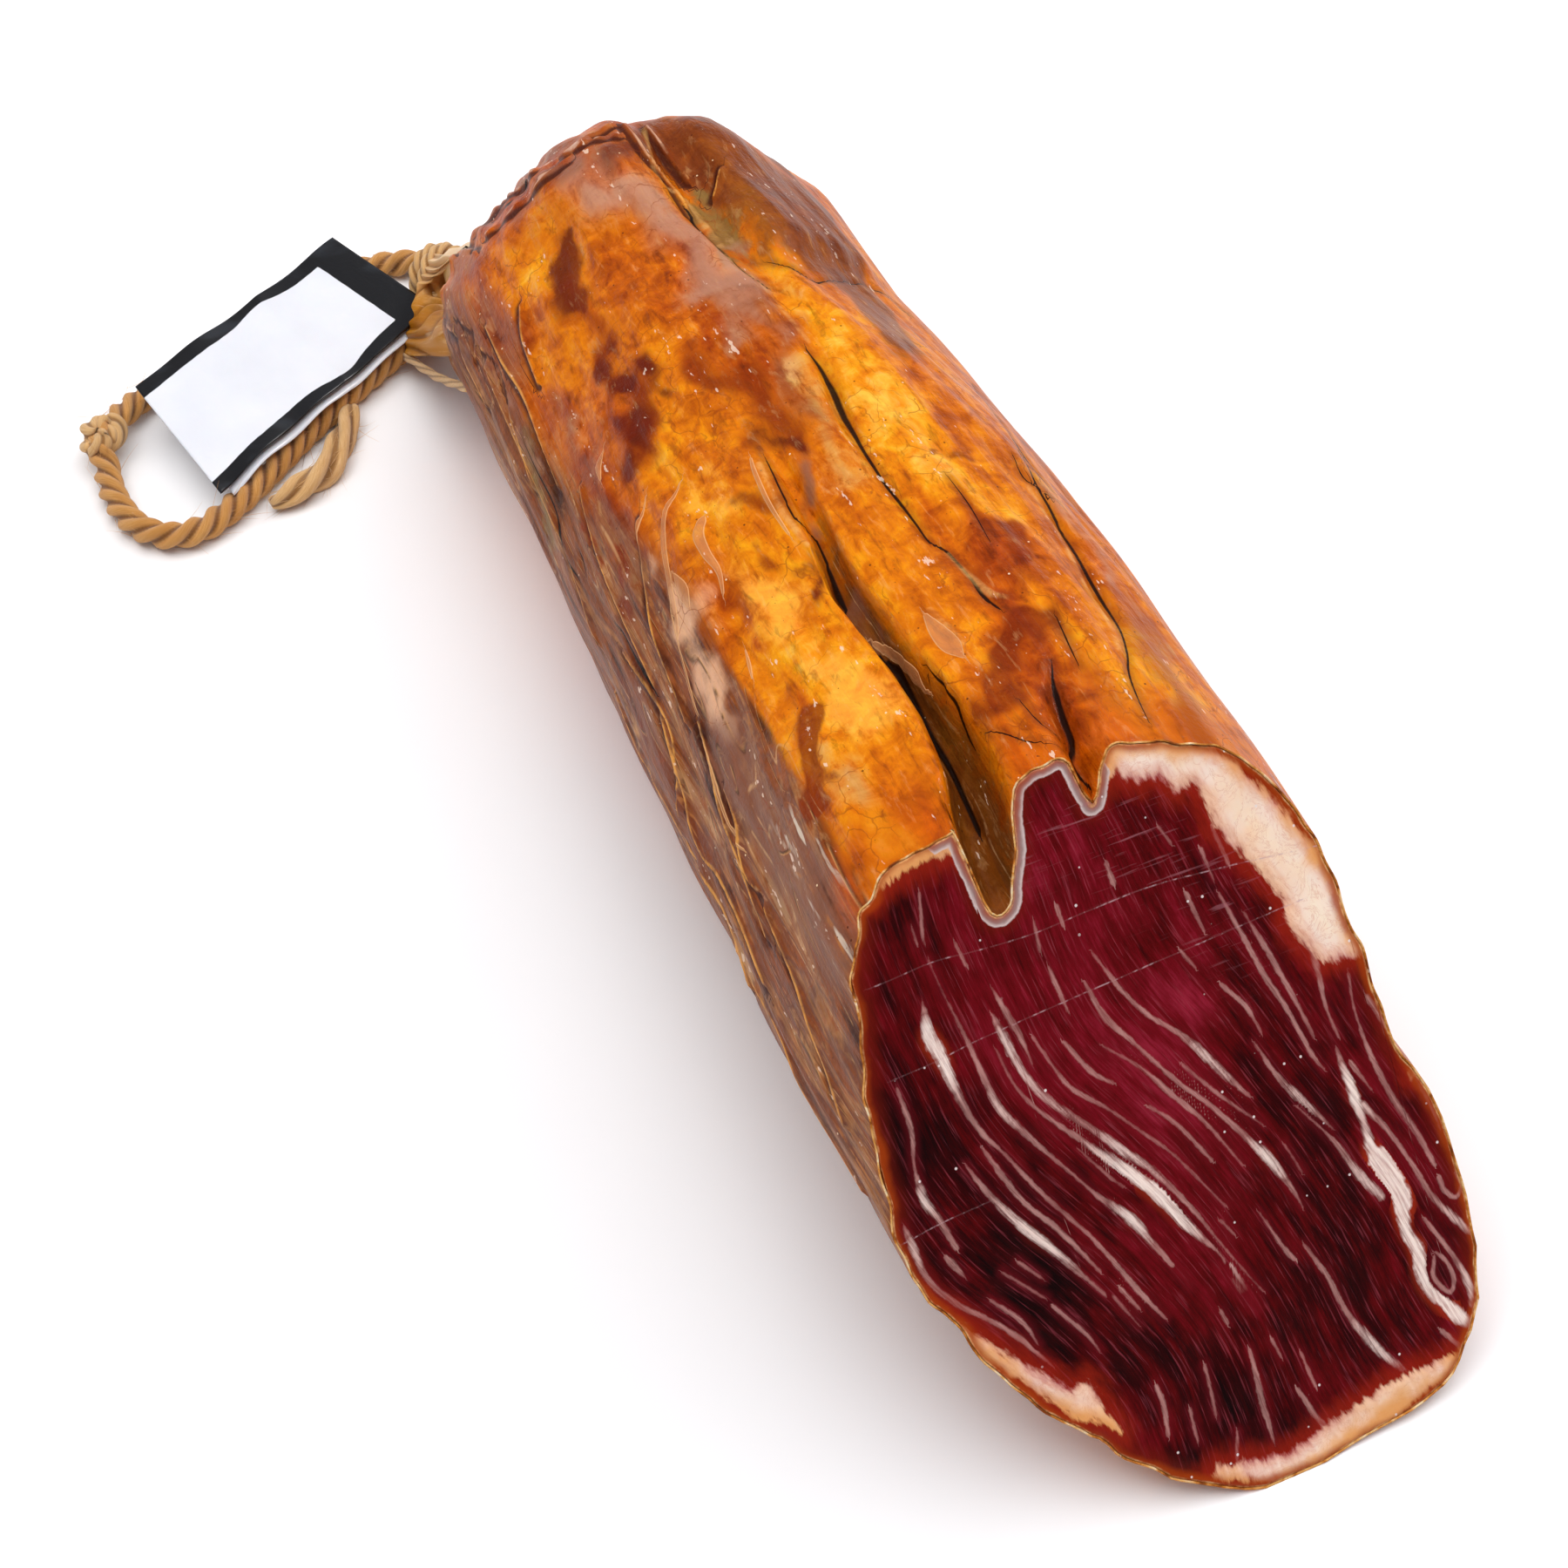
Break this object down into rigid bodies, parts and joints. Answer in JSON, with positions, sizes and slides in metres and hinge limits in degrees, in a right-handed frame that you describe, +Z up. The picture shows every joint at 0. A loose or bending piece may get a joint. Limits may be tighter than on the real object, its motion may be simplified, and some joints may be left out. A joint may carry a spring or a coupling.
{
  "type": "cured pork loin",
  "caption": "Half of a cured pork loin in its casing, cut on a slant at one end and tied at the other with a loop of jute rope and a blank folded label, lying on its side.",
  "frame": {"origin": "on the surface that the loin lies on, under the middle of the loin's box", "axes": "+X along the loin from the tied end to the cut end, +Y across it, +Z up"},
  "size_m": [0.2577, 0.1152, 0.0728],
  "materials": {
    "cured_meat": "glossy amber casing over dark red cured meat",
    "jute_rope": "hairy three-strand twist",
    "label_film": "printed film, white with a black border"
  },
  "bodies": {
    "root": {"loin": "cured_meat", "neck_tie": "jute_rope", "rope_upper": "jute_rope", "rope_knot": "jute_rope", "rope_lower": "jute_rope", "rope_tail": "jute_rope", "label": "label_film"}
  },
  "joints": []
}
